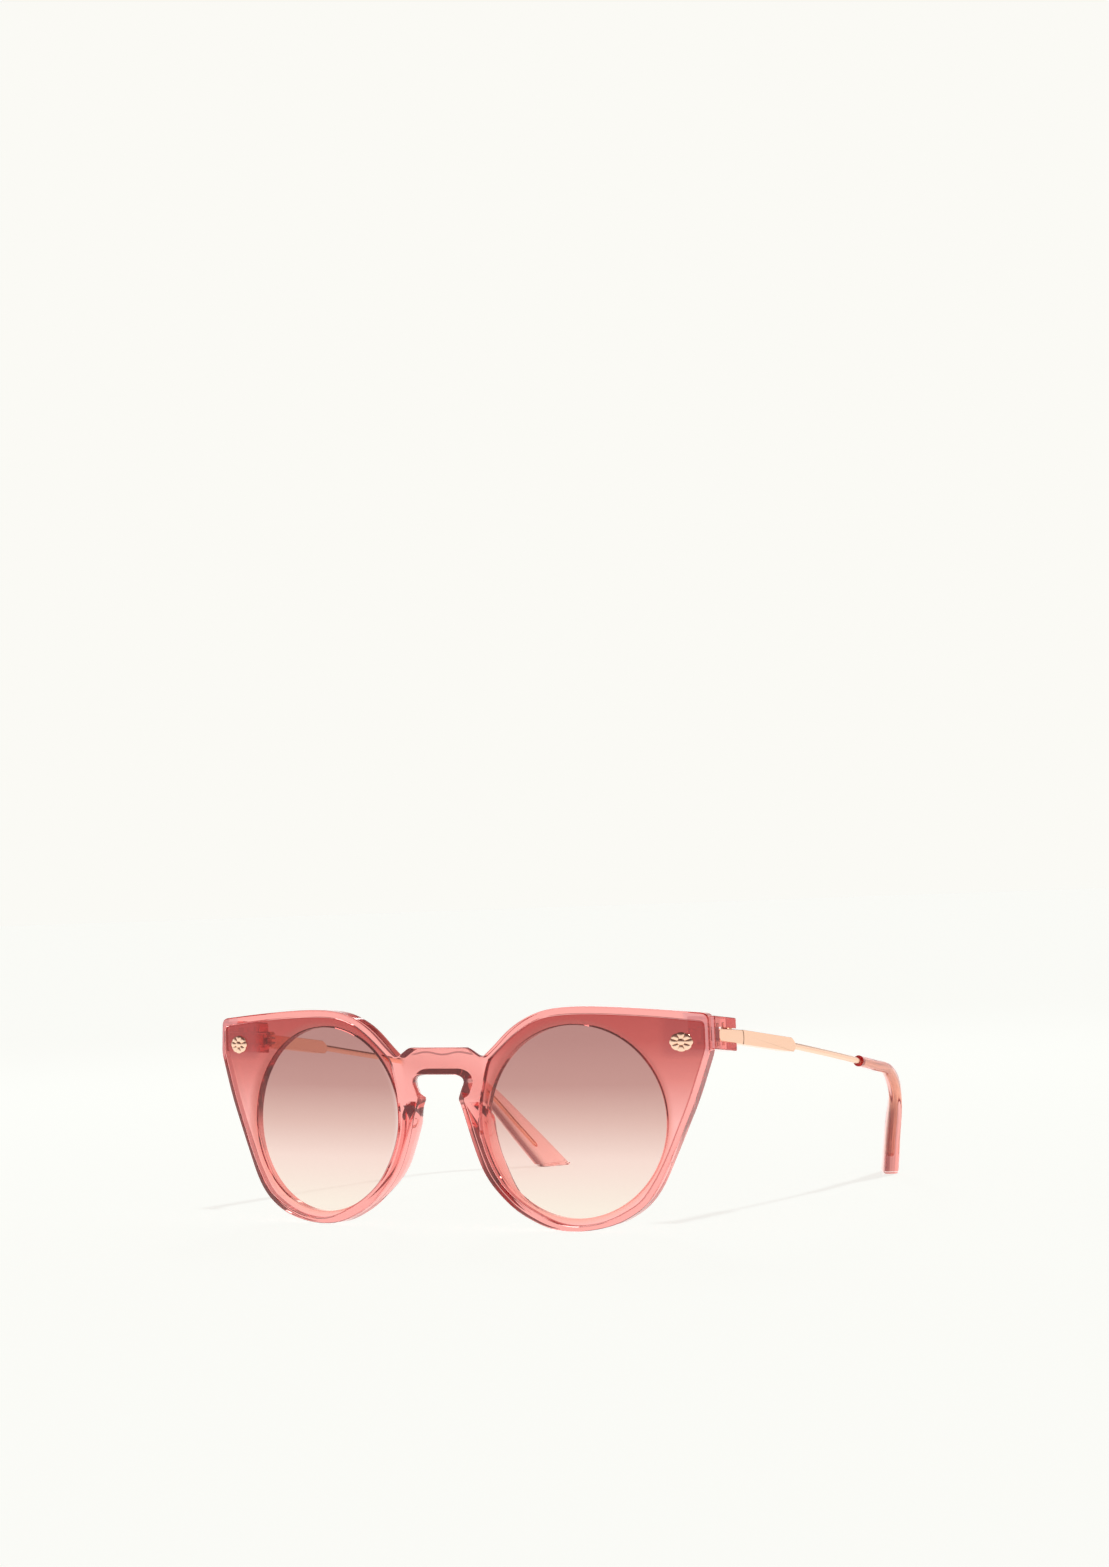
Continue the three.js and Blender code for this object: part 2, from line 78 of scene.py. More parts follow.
BRACKET_PIN = dict(x=67.5, radius=0.54, low=41.92, high=47.28, soft=0.12)
BRACKET_PINS = dict(front=14.6, rear=17.2)
SLEEVE = dict(length=25.7, slope=0.144, inner=68.6, outer=71.4)
WIRE_RADIUS = 0.8
CORE_RADIUS = 0.6
CORE_NECK = 0.32
WIRE_KNOTS = [(70, 45.5, 40.5), (69.9, 60, 38.0), (69.5, 75, 35.4), (69, 88, 33.1)]
TIP_KNOTS = [(69, 88, 33.1), (68, 99, 31.2), (66.4, 110, 28.9), (64, 118.6, 22.4),
             (58.6, 127, 11), (53.4, 135.2, 0), (50.1, 140.3, -6.8)]
TIP_MOUTH = 1.4
TIP_HALF_THICKNESS = 2.1
TIP_HALF_HEIGHT = 3.88
TIP_SOFT = 0.8
CORE_SHARE = 0.78

# The drawing's origin is on the front surface; the frame's is under the middle of the glasses.
screw_low, screw_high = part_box("hinge_screw_left")
SHIFT = Vector((0, (screw_low.y + screw_high.y) / 2 / MM - HINGE.y,
                screw_low.z / MM - HINGE.z + HALF_HINGE))
SIDES = {"left": 1, "right": -1}


# ---- curves ----
class Outline:
    """A flat path of lines, quadratic corners and splines through knots."""

    def __init__(self, start):
        self.points = [np.array(start, float)]

    def line(self, *points):
        self.points += [np.array(p, float) for p in points]
        return self

    def corner(self, middle, end, steps=6):
        a, m, b = self.points[-1], np.array(middle, float), np.array(end, float)
        for t in np.linspace(0, 1, steps + 1)[1:]:
            self.points.append((1 - t) ** 2 * a + 2 * t * (1 - t) * m + t * t * b)
        return self

    def spline(self, *points, steps=6):
        knots = [self.points[-1]] + [np.array(p, float) for p in points]
        self.points += spline_points(knots, steps)[1:]
        return self


def spline_points(knots, steps):
    """Points of a Catmull-Rom spline through the knots."""
    knots = [np.array(k, float) for k in knots]
    points = [knots[0]]
    for i in range(len(knots) - 1):
        before = knots[max(i - 1, 0)]
        a, b = knots[i], knots[i + 1]
        after = knots[min(i + 2, len(knots) - 1)]
        leave, arrive = (b - before) / 2, (after - a) / 2
        for t in np.linspace(0, 1, steps + 1)[1:]:
            points.append((2 * a - 2 * b + leave + arrive) * t ** 3
                          + (3 * b - 3 * a - 2 * leave - arrive) * t * t + leave * t + a)
    return points


def resampled(points, spacing, closed=True):
    """The same path with its points evenly spaced."""
    points = np.array(points)
    if closed:
        points = np.vstack([points, points[:1]])
    lengths = np.linalg.norm(np.diff(points, axis=0), axis=1)
    along = np.concatenate([[0], np.cumsum(lengths)])
    count = max(3, round(along[-1] / spacing))
    places = np.linspace(0, along[-1], count + 1)
    if closed:
        places = places[:-1]
    return np.stack([np.interp(places, along, points[:, k]) for k in range(points.shape[1])], 1)


def smoothstep(x, low, high):
    t = np.clip((x - low) / (high - low), 0, 1)
    return t * t * (3 - 2 * t)


def mirror_outline(outline):
    return outline[::-1] * (-1, 1)


def frame_outline():
    """The front's outline. One half is drawn, from the top of the bridge round to the keyhole."""
    o = Outline((0, 42.9)).line((7.6, 42.9)).corner((8.4, 42.9), (9.1, 42.5)).line((11.6, 40.9))
    o.corner((12.4, 40.4), (13.2, 41.0))
    o.spline((15.9, 43.3), (19.2, 46.3), (22.5, 48.6), (26.5, 50.5), (31, 51.7), (37, 52.2),
             (45, 52.1), (57, 51.4), (69.6, 50.4))
    o.corner((71.1, 50.2), (71.3, 48.8)).line((71.5, 42.6)).corner((71.5, 41.4), (71.1, 40.3))
    o.spline((68, 31.5), (65, 24.6), (61.9, 17.9), (58.6, 11.1), (55.6, 7.0), (52, 4.1), (47.5, 1.9),
             (42, 0.5), (36, 0), (30.4, 0.6), (25.5, 2.4), (20.7, 5.1), (16.2, 9), (13.3, 12.5),
             (11.4, 16), (9.4, 21), (8, 25), (6.8, 28.3), (5.8, 30.6))
    o.spline((6.5, 32.6), (7.35, 34.4)).corner((7.6, 36.1), (4.6, 36.4)).line((0, 36.4))
    half = np.array(o.points)
    return np.vstack([half, mirror_outline(half[1:-1])])


def lens_outline():
    o = Outline((14.7, 40.2))
    o.spline((17, 42.2), (20, 44.7), (23.2, 47), (26.6, 48.8), (31, 50.0), (37, 50.5), (45, 50.4),
             (57, 49.7), (69.2, 48.5))
    o.corner((70.1, 48.4), (70.2, 47.4)).line((70.3, 42.8)).corner((70.3, 41.9), (70, 41.1))
    o.spline((66.4, 31), (63.2, 23.5), (60.2, 16.8), (57.2, 11.5), (54, 7.3), (50.6, 5.0), (46.5, 3),
             (42, 1.7), (36.7, 1.2), (31.8, 2.0), (27, 4), (22.3, 6.6), (18, 10.2), (14.8, 14.8),
             (12.6, 19.8), (11.6, 25), (12, 31), (13.2, 36.2))
    o.corner((13.9, 39.4), (14.7, 40.2))
    return np.array(o.points)[:-1]


def around(count):
    """Evenly spaced angles of one turn."""
    return [2 * pi * k / count for k in range(count)]


def rounding(radius, count):
    """(inset, depth) pairs of a quarter round, from its face to its side."""
    return [(radius * (1 - sin(t)), radius * (1 - cos(t)))
            for t in np.linspace(0, pi / 2, count)]


def blunt(value, power):
    """A sine or cosine pushed out towards a squarer shape."""
    return copysign(abs(value) ** power, value)


def ellipse(u, v, half_width, half_height, count=120):
    turn = np.linspace(0, -2 * pi, count, endpoint=False)
    return np.stack([u + half_width * np.cos(turn), v + half_height * np.sin(turn)], 1)


def offset(points, distance):
    """A closed clockwise outline moved inwards by a distance, or by one distance per point."""
    along = np.roll(points, -1, 0) - np.roll(points, 1, 0)
    along /= np.linalg.norm(along, axis=1)[:, None]
    inward = np.stack([along[:, 1], -along[:, 0]], 1)
    return points + inward * np.reshape(distance, (-1, 1))


def inside(points, outline):
    """Which points lie inside a closed outline."""
    x, y = points[:, :1], points[:, 1:]
    a, b = outline, np.roll(outline, -1, 0)
    spans = (a[:, 1] > y) != (b[:, 1] > y)
    rise = np.where(np.abs(b[:, 1] - a[:, 1]) < 1e-12, 1e-12, b[:, 1] - a[:, 1])
    cross = x < (b[:, 0] - a[:, 0]) * (y - a[:, 1]) / rise + a[:, 0]
    return (spans & cross).sum(1) % 2 == 1


def in_region(points, outer, holes):
    """Which points lie inside the outer outline and outside every hole."""
    return inside(points, outer) & ~np.any([inside(points, hole) for hole in holes], axis=0)


# ---- meshes ----
# A region of a flat cap smaller than this, in square mm, is left out.
SLIVER = 0.5
# How closely a face must follow the bent front to take the front's own normals.
SAME_WAY = 0.9998


def triangle_area(corners):
    a, b = corners[1] - corners[0], corners[2] - corners[0]
    return abs(a[0] * b[1] - a[1] * b[0]) / 2


def face_regions(faces, known, borders):
    """Numbers the groups of triangles that meet without a border line between them."""
    across = {}
    for i, face in enumerate(faces):
        for a, b in zip(face, face[1:] + face[:1]):
            if frozenset((known[a], known[b])) not in borders:
                across.setdefault(frozenset((a, b)), []).append(i)
    region = np.arange(len(faces))
    for pair in across.values():
        if len(pair) == 2:
            low, high = sorted(region[pair])
            region[region == high] = low
    return region


class FlatSolid:
    """Builds a closed solid from rings (an outline at a depth), walls and flat caps."""

    def __init__(self):
        self.points = []
        self.faces = []

    def ring(self, outline, depth):
        first = len(self.points)
        depths = np.broadcast_to(depth, len(outline))
        self.points += [(p[0], p[1], d) for p, d in zip(outline, depths)]
        return np.arange(first, len(self.points))

    def wall(self, rings):
        """Quads from each ring to the next, all clockwise seen from the front."""
        for a, b in zip(rings, rings[1:]):
            for k in range(len(a)):
                j = (k + 1) % len(a)
                self.faces.append((a[k], a[j], b[j], b[k]))

    def cap(self, outer, holes, to_front, spacing=3.0):
        """Fills the region between an outer ring and hole rings with even triangles."""
        depth = self.points[outer[0]][2]
        loops = [outer] + list(holes)
        ids = np.concatenate(loops)
        flat = [np.array([self.points[i][:2] for i in loop]) for loop in loops]
        edges = []
        start = 0
        for loop in loops:
            count = len(loop)
            edges += [(start + k, start + (k + 1) % count) for k in range(count)]
            start += count
        low, high = flat[0].min(0), flat[0].max(0)
        rows = enumerate(np.arange(low[1], high[1], spacing * 0.87))
        grid = np.array([(x, y) for row, y in rows
                         for x in np.arange(low[0] + (row % 2) * spacing / 2, high[0], spacing)])
        keep = in_region(grid, flat[0], flat[1:])
        border = np.vstack(flat)
        near = np.min(np.linalg.norm(grid[:, None] - border[None], axis=2), axis=1) < spacing * 0.5
        grid = grid[keep & ~near]
        corners = [Vector(p) for p in np.vstack([border, grid])]
        points, _, faces, origins, _, _ = delaunay_2d_cdt(corners, edges, [], 0, 1e-5)
        known = [origin[0] if origin else len(corners) for origin in origins]
        index = []
        for point, origin in zip(points, known):
            if origin < len(ids):
                index.append(int(ids[origin]))
            else:
                index.append(len(self.points))
                self.points.append((point.x, point.y, depth))
        borders = {frozenset(edge) for edge in edges}
        region = face_regions(faces, known, borders)
        where = np.array([p[:2] for p in points])
        middles = np.array([where[list(f)].mean(0) for f in faces])
        shown = in_region(middles, flat[0], flat[1:])
        sizes = np.array([triangle_area(where[list(f)]) for f in faces])
        for group in set(region):
            members = region == group
            if (sizes * shown)[members].sum() < max(sizes[members].sum() / 2, SLIVER):
                continue
            for i in np.flatnonzero(members):
                turned = faces[i][::-1] if to_front else faces[i]
                self.faces.append(tuple(index[k] for k in turned))

    def mesh(self, name):
        return make_mesh(name, [bend(p) for p in self.points], self.faces)


def make_mesh(name, points, faces):
    mesh = bpy.data.meshes.new(name)
    mesh.from_pydata([Vector(p) * MM for p in points], [], [tuple(int(i) for i in f) for f in faces])
    bm = bmesh.new()
    bm.from_mesh(mesh)
    bmesh.ops.remove_doubles(bm, verts=bm.verts, dist=1e-7)
    bmesh.ops.recalc_face_normals(bm, faces=bm.faces)
    bm.to_mesh(mesh)
    bm.free()
    return mesh


def add_object(name, mesh):
    obj = bpy.data.objects.new(name, mesh)
    bpy.context.scene.collection.objects.link(obj)
    return obj


def smooth_groups(vert, sharp):
    """The faces round a vertex, split where an edge is sharp."""
    groups = []
    left = set(vert.link_faces)
    while left:
        group = [left.pop()]
        for face in group:
            for edge in face.edges:
                if vert in edge.verts and edge.index not in sharp:
                    for other in edge.link_faces:
                        if other in left:
                            left.remove(other)
                            group.append(other)
        groups.append(group)
    return groups


def shade(mesh, degrees=32, bent=False):
    """Smooth normals that keep sharp edges and follow large faces, or the bent front's surface."""
    bm = bmesh.new()
    bm.from_mesh(mesh)
    bm.normal_update()
    limit = radians(degrees)
    sharp = {e.index for e in bm.edges if len(e.link_faces) != 2 or e.calc_face_angle(0) > limit}
    areas = {f: f.calc_area() for f in bm.faces}
    normals = {}
    for vert in bm.verts:
        for group in smooth_groups(vert, sharp):
            total = Vector()
            for face in group:
                total += face.normal * areas[face]
            if bent:
                true = bent_normal(vert.co)
                flat = [f for f in group if abs(f.normal.dot(true)) > SAME_WAY]
                if flat:
                    total = true if flat[0].normal.dot(true) > 0 else -true
            total.normalize()
            for face in group:
                normals[(face.index, vert.index)] = total
    bm.free()
    mesh.polygons.foreach_set("use_smooth", [True] * len(mesh.polygons))
    mesh.normals_split_custom_set([normals[(p.index, v)] for p in mesh.polygons for v in p.vertices])


def bent_normal(point):
    """Direction out of the front's surface at a place on the curved, leaning front."""
    place = point / MM - SHIFT
    back = place.y * cos(FRONT_LEAN) - place.z * sin(FRONT_LEAN)
    turn = atan2(place.x, FACE_RADIUS - back)
    ahead = cos(turn)
    return Vector((sin(turn), -ahead * cos(FRONT_LEAN), ahead * sin(FRONT_LEAN)))


def to_world(point):
    """From the drawing's millimetres to the frame's."""
    return Vector(point) + SHIFT


def bend(point):
    """Where a flat point (u, v, n) lies on the curved, leaning front."""
    u, v, n = point
    turn = u / FACE_RADIUS
    x = (FACE_RADIUS - n) * sin(turn)
    y = FACE_RADIUS * (1 - cos(turn)) + n * cos(turn)
    return to_world((x, y * cos(FRONT_LEAN) + v * sin(FRONT_LEAN),
                     v * cos(FRONT_LEAN) - y * sin(FRONT_LEAN)))


def finished(bm, name):
    mesh = bpy.data.meshes.new(name)
    bm.to_mesh(mesh)
    bm.free()
    return mesh


def mirrored_mesh(mesh, name):
    bm = bmesh.new()
    bm.from_mesh(mesh)
    bmesh.ops.transform(bm, matrix=Matrix.Scale(-1, 4, (1, 0, 0)), verts=bm.verts)
    bmesh.ops.reverse_faces(bm, faces=bm.faces)
    return finished(bm, name)


def combine(target, tool, operation):
    """Boolean of two meshes, as a new mesh."""
    a = add_object("boolean_target", target)
    b = add_object("boolean_tool", tool)
    modifier = a.modifiers.new("boolean", "BOOLEAN")
    modifier.operation = operation
    modifier.object = b
    modifier.solver = "EXACT"
    graph = bpy.context.evaluated_depsgraph_get()
    result = bpy.data.meshes.new_from_object(a.evaluated_get(graph))
    bpy.data.objects.remove(a)
    bpy.data.objects.remove(b)
    return result


def bevel(bm, edges, width, segments):
    bmesh.ops.bevel(bm, geom=edges, offset=width * MM, offset_type="OFFSET", segments=segments,
                    profile=0.5, affect="EDGES", clamp_overlap=True)


def prism(points, across, low, high, width=0.0, segments=3, crown=0.0):
    """A side profile (y, z) or plan (x, y) made solid, with its edges bevelled.

    A crown rounds the long edges, which run front to back, more than the rest.
    """
    bm = bmesh.new()

    def corner(p, level):
        return to_world((level, p[0], p[1]) if across == "x" else (p[0], p[1], level))

    def edges(angle, length=0):
        turned = [e for e in bm.edges if e.calc_face_angle(0) > radians(angle)]
        return [e for e in turned if e.calc_length() >= length * MM]

    bottom = [bm.verts.new(corner(p, low) * MM) for p in points]
    top = [bm.verts.new(corner(p, high) * MM) for p in points]
    bm.faces.new(bottom)
    bm.faces.new(top[::-1])
    for k in range(len(points)):
        j = (k + 1) % len(points)
        bm.faces.new((bottom[k], top[k], top[j], bottom[j]))
    bmesh.ops.recalc_face_normals(bm, faces=bm.faces)
    if crown:
        bevel(bm, edges(60, 5), crown, 8)
    if width:
        bevel(bm, edges(28), width, segments)
    return finished(bm, "prism")


def skin(name, rings, hollow=False, turn_start=True):
    """Solid skin over rings of points. Its ends are closed, or joined to each other if hollow."""
    count = len(rings[0])
    points = [p for ring in rings for p in ring]
    total = len(points)
    faces = []
    for first in range(0, total if hollow else total - count, count):
        for k in range(count):
            a, b = first + k, first + (k + 1) % count
            faces.append((a, b, (b + count) % total, (a + count) % total))
    if not hollow:
        start = tuple(range(count))
        faces.append(start[::-1] if turn_start else start)
        faces.append(tuple(range(total - count, total)))
    return make_mesh(name, points, faces)


def at_hinge(x, y, z):
    return to_world(HINGE + Vector((x, y, z)))


def lathe(name, profile, place=at_hinge, count=48, hollow=False):
    """Turned solid about an upright axis, from (radius, height) pairs."""
    rings = [[place(radius * cos(t), radius * sin(t), height) for t in around(count)]
             for radius, height in profile]
    return skin(name, rings, hollow)


def bar(bottom, top, radius, width=0.1):
    """Upright bar on the hinge's axis with softened rims."""
    return lathe("bar", [(radius - width, bottom), (radius, bottom + width),
                         (radius, top - width), (radius - width, top)])


def sweep(path, sections):
    """Rings of points round a path. Each section is a closed list of (side, rise) offsets."""
    path = [Vector(p) for p in path]
    rings = []
    for k, (centre, section) in enumerate(zip(path, sections)):
        along = (path[min(k + 1, len(path) - 1)] - path[max(k - 1, 0)]).normalized()
        side = along.cross(Vector((0, 0, 1))).normalized()
        rise = side.cross(along).normalized()
        rings.append([centre + side * s + rise * r for s, r in section])
    return rings


# ---- shapes ----
def front_plate():
    """The flat front with its recesses and openings, bent to the face."""
    outer = resampled(frame_outline(), 0.7)
    reach = np.abs(outer[:, 0])
    bridge_end, keyhole_top = 12.4, 39
    upper = outer[:, 1] > keyhole_top
    middle = reach < bridge_end
    # The back edge of the bridge is bevelled: steeply on the shoulders and beside the keyhole,
    # and at an even slant above it.
    over = smoothstep(reach, 6.0, 8.8) * smoothstep(-reach, -bridge_end, -11.2)
    shoulder = np.where(middle & upper, over, 0)
    between = smoothstep(-reach, -7.4, -5.0) * smoothstep(outer[:, 1], 33.5, 34.5)
    arch = np.where(middle & ~upper, between, 0)
    wall = np.where(middle & ~upper, smoothstep(outer[:, 1], 30.5, 32.2), 0) - arch
    slanted = np.clip(shoulder + arch + wall, 0, 1)
    plain = 1 - slanted
    bevel_in = BACK_ROUND * plain + 0.75 * shoulder + 1.4 * arch + 1.3 * wall
    bevel_deep = BACK_ROUND * plain + 2.8 * shoulder + 1.4 * arch + 2.6 * wall
    solid = FlatSolid()
    rings = [solid.ring(offset(outer, inset), depth) for inset, depth in rounding(RIM_ROUND, 7)]
    for turn in np.linspace(pi / 2, 0, 7):
        slant = turn / (pi / 2)
        inset = bevel_in * ((1 - sin(turn)) * plain + (1 - slant) * slanted)
        rise = bevel_deep * ((1 - cos(turn)) * plain + slant * slanted)
        rings.append(solid.ring(offset(outer, inset), FRONT_DEPTH - rise))
    solid.wall(rings)
    recess = resampled(lens_outline(), 0.8)
    hole = ellipse(**APERTURE)
    lip, brim, back_round = 0.12, 0.25, 0.6
    front_holes, back_holes = [], []
    for a, b in ((recess, hole), (mirror_outline(recess), mirror_outline(hole))):
        top = solid.ring(offset(a, -lip), 0)
        edge = solid.ring(a, lip)
        foot = solid.ring(a, RECESS_DEPTH)
        solid.wall([foot, edge, top])
        front_holes.append(top)
        brink = solid.ring(offset(b, -brim), RECESS_DEPTH)
        inner = [solid.ring(b, RECESS_DEPTH + brim), solid.ring(b, FRONT_DEPTH - back_round)]
        for depth, flare in rounding(back_round, 7)[1:]:
            inner.append(solid.ring(offset(b, -flare), FRONT_DEPTH - depth))
        solid.wall(inner[::-1] + [brink])
        solid.cap(foot, [brink], to_front=True)
        back_holes.append(inner[-1])
    solid.cap(rings[0], front_holes, to_front=True)
    solid.cap(rings[-1], back_holes, to_front=False)
    return solid.mesh("front_plate")


def nose_pad():
    """Blunt-topped pad that stands on the back of the front, along the nasal edge of the rim."""
    edge = Outline((6.25, 29.9))
    edge.spline((7.9, 25.2), (9.3, 21.2), (11.3, 16.2), (13.2, 12.6), (16, 9.2), (19.8, 5.9),
                (24.5, 3.2), steps=7)
    path = resampled(edge.points, 0.5, closed=False)
    middle = np.array((APERTURE["u"], APERTURE["v"]))
    opening = np.array((APERTURE["half_width"], APERTURE["half_height"]))
    narrowest, widest, rim_gap, gap, splay = 1.2, 4.4, 0.7, 0.12, 0.22
    mean_radius, full_height_from, least_height = 23, 0.17, 0.05
    rings = []
    last = len(path) - 1
    for k, base in enumerate(path):
        share = k / last
        along = path[min(k + 1, last)] - path[max(k - 1, 0)]
        along /= np.linalg.norm(along)
        outward = np.array([-along[1], along[0]])
        level = smoothstep(-share, -0.16, 0)
        outward = outward * (1 - level) + np.array([1, 0]) * level
        outward /= np.linalg.norm(outward)
        room = (np.linalg.norm((base - middle) / opening) - 1) * mean_radius
        width = max(narrowest, min(widest, room - rim_gap))
        rising = min(1, share / full_height_from)
        height = PAD_HEIGHT * rising * (1 - smoothstep(share, 0.5, 1.0)) + least_height
        ring = []
        for turn in around(36):
            across = width * 0.5 * (1 - blunt(cos(turn), 0.6))
            d = sin(turn)
            rise = (height + PAD_FOOT) * d ** 0.5 if d > 0 else 0.6 * d
            depth = FRONT_DEPTH - PAD_FOOT + rise
            moved = splay * max(0, depth - FRONT_DEPTH)
            spot = base + outward * (moved + across * (1 - moved / (width + 2)) + gap)
            ring.append(bend((spot[0], spot[1], depth)))
        rings.append(ring)
    return skin("nose_pad", rings)


def block_profile(start, end, bottom, top):
    """Four corners of a bar, from the levels of its bottom and top at each end."""
    return [(start, bottom[0]), (end, bottom[1]), (end, top[1]), (start, top[0])]


def sloping(start, end, bottom, top):
    """Side profile of a bar that falls towards the back, from its heights at the slope's start."""
    levels = [[z - (y - SLOPE_START) * SLOPE for y in (start, end)] for z in (bottom, top)]
    return block_profile(start, end, *levels)


def front_moulding():
    """The whole clear front: plate, nose pads and the slotted end piece blocks."""
    mesh = front_plate()
    pad = nose_pad()
    block = prism(sloping(BLOCK["start"], BLOCK["end"], BLOCK["bottom"], BLOCK["top"]), "x",
                  BLOCK["inner"], BLOCK["outer"], 0.35, 4)
    slot = prism(sloping(SLOT["start"], BLOCK["end"] + 3, SLOT["bottom"], SLOT["top"]), "x",
                 SLOT["inner"], BLOCK["outer"] + 3, 0.3, 3)
    for mirror in (False, True):
        for tool, operation in ((pad, "UNION"), (block, "UNION"), (slot, "DIFFERENCE")):
            used = mirrored_mesh(tool, "tool") if mirror else tool
            mesh = combine(mesh, used, operation)
    return mesh


def lens():
    """Flat gradient lens that fills the recess, with softened edges and the stud's hole."""
    edge = resampled(offset(resampled(lens_outline(), 0.8), LENS_GAP), 0.8)
    solid = FlatSolid()
    soft, back_soft, hole_radius = 0.22, 0.1, 0.76
    rings = [solid.ring(offset(edge, inset), depth) for inset, depth in rounding(soft, 4)]
    rings += [solid.ring(edge, LENS_DEPTH - back_soft), solid.ring(offset(edge, back_soft), LENS_DEPTH)]
    solid.wall(rings)
    hole = ellipse(STUD["u"], STUD["v"], hole_radius, hole_radius, 32)
    near, far = solid.ring(hole, 0), solid.ring(hole, LENS_DEPTH)
    solid.wall([far, near])
    solid.cap(rings[0], [near], to_front=True)
    solid.cap(rings[-1], [far], to_front=False)
    return solid.mesh("lens")


def at_stud(x, y, z):
    return bend((STUD["u"] + x, STUD["v"] + y, z))


def stud():
    """Generic oval stud: a ring of petals round a small dome, on a round post."""
    hub, hub_rise, petal_base, petal_rise, notch = 0.32, 0.4, 0.4, 0.22, 0.07
    rows = [(0.93, 0.02), (1.0, 0.08), (1.0, 0.22), (0.965, 0.33), (0.9, 0.37)]
    rows += [(share, None) for share in np.linspace(0.85, 0.02, 22)]
    rings = []
    for share, height in rows:
        swell = sin(pi * min(1, max(0, (share - 0.3) / 0.62))) ** 0.6
        dome = 0.42 + hub_rise * sqrt(max(0, 1 - (share / hub) ** 2))
        ring = []
        for turn in around(160):
            wave = abs(cos(STUD["petals"] * turn / 2)) ** 0.7
            radius = share * (1 - notch * (1 - wave) * smoothstep(share, 0.5, 1))
            level = height
            if height is None:
                petal = petal_base + petal_rise * wave * swell
                level = max(petal, dome) if share < hub else petal
            ring.append(at_stud(STUD["half_width"] * radius * cos(turn),
                                STUD["half_height"] * radius * sin(turn), -level))
        rings.append(ring)
    post = lathe("stud_post", [(0.6, 1.42), (0.68, 1.34), (0.68, -0.2)], at_stud, 32)
    return combine(skin("stud_head", rings, turn_start=False), post, "UNION")


def arc_end(y, middle, half, bulge, steps=6):
    """Side view of an upright end that bulges towards the back, from bottom to top."""
    return [(y + bulge * (1 - (2 * t - 1) ** 2), middle - half + 2 * half * t)
            for t in np.linspace(0, 1, steps + 1)]


def ear(bottom, top, start, end):
    """A flat ear round the pin with a web back to the bracket or the sleeve."""
    low, high = HINGE.z + bottom, HINGE.z + top
    profile = block_profile(HINGE.y + start, HINGE.y + end, (low, low), (high, high))
    web = prism(profile, "x", HINGE.x, BRACKET["plate"][0] + 0.4, 0.06, 2)
    return combine(bar(bottom, top, KNUCKLE_RADIUS, 0.12), web, "UNION")


def hinge_bracket():
    """Bracket plate with the root that sits in the slot, and the hinge's two outer lugs."""
    half, start, chamfer, nick = BRACKET["half_height"], BRACKET["start"], 0.8, 0.25

    def drop(y):
        return (HINGE.y - y) * SLOPE

    low, high = HINGE.z - half, HINGE.z + half
    profile = [(start, low + drop(start) + chamfer), (start + nick, low + drop(start) + nick),
               (start + chamfer, low + drop(start + chamfer))]
    profile += arc_end(HINGE.y - 0.62, HINGE.z, HALF_HINGE, 0.4)
    profile += [(start + chamfer, high + drop(start + chamfer)),
                (start + nick, high + drop(start) - nick), (start, high + drop(start) - chamfer)]
    plate = prism(profile, "x", *BRACKET["plate"], 0.14, 3, crown=0.7)
    ends = (start + 0.6, BRACKET["root_end"])
    profile = block_profile(*ends, [low + 0.2 + drop(y) for y in ends],
                            [high - 0.2 + drop(y) for y in ends])
    mesh = combine(plate, prism(profile, "x", *BRACKET["root"], 0.12, 2), "UNION")
    for bottom, top in ((LUG_INSIDE, HALF_HINGE), (-HALF_HINGE, -LUG_INSIDE)):
        mesh = combine(mesh, ear(bottom, top, -3.6, -0.1), "UNION")
    return combine(mesh, bar(-4, 4, PIN_BORE), "DIFFERENCE")


def temple_sleeve():
    """Flat front part of the temple, with the hinge's middle knuckle."""
    half = HALF_HINGE
    end = HINGE.y + SLEEVE["length"]

    def level(y):
        return HINGE.z - (y - HINGE.y) * SLEEVE["slope"]

    front = arc_end(HINGE.y - 0.32, HINGE.z, half, 0.4)[::-1]
    nose = [(end - 2.4, level(end - 2.4) - half), (end - 1.2, level(end) - 1.45),
            (end - 0.4, level(end) - 1.0), (end, level(end) - 0.3), (end - 0.15, level(end) + 0.45),
            (end - 0.8, level(end) + 1.15), (end - 2.0, level(end - 2.0) + half)]
    body = prism(front + nose, "x", SLEEVE["inner"], SLEEVE["outer"], 0.14, 3, crown=0.9)
    mesh = combine(body, ear(-HALF_KNUCKLE, HALF_KNUCKLE, 0.15, 3.4), "UNION")
    return combine(mesh, bar(-4, 4, PIN_BORE), "DIFFERENCE")


def hinge_screw():
    """Screw with a low domed head that has a driver slot across it."""
    seat = HALF_HINGE + 0.03
    head = [(1.18, 0), (1.25, 0.07), (1.25, 0.24), (1.17, 0.36), (0.95, 0.45), (0.6, 0.49), (0.2, 0.5)]
    profile = [(0.5, -1.66), (0.66, -1.55), (PIN_RADIUS, -1.45), (PIN_RADIUS, seat)]
    profile += [(radius, seat + height) for radius, height in head]
    top = HINGE.z + seat + 0.5
    narrow = 0.17
    plan = block_profile(HINGE.x - 2, HINGE.x + 2, [HINGE.y - narrow] * 2, [HINGE.y + narrow] * 2)
    return combine(lathe("screw", profile), prism(plan, "z", top - 0.24, top + 1), "DIFFERENCE")


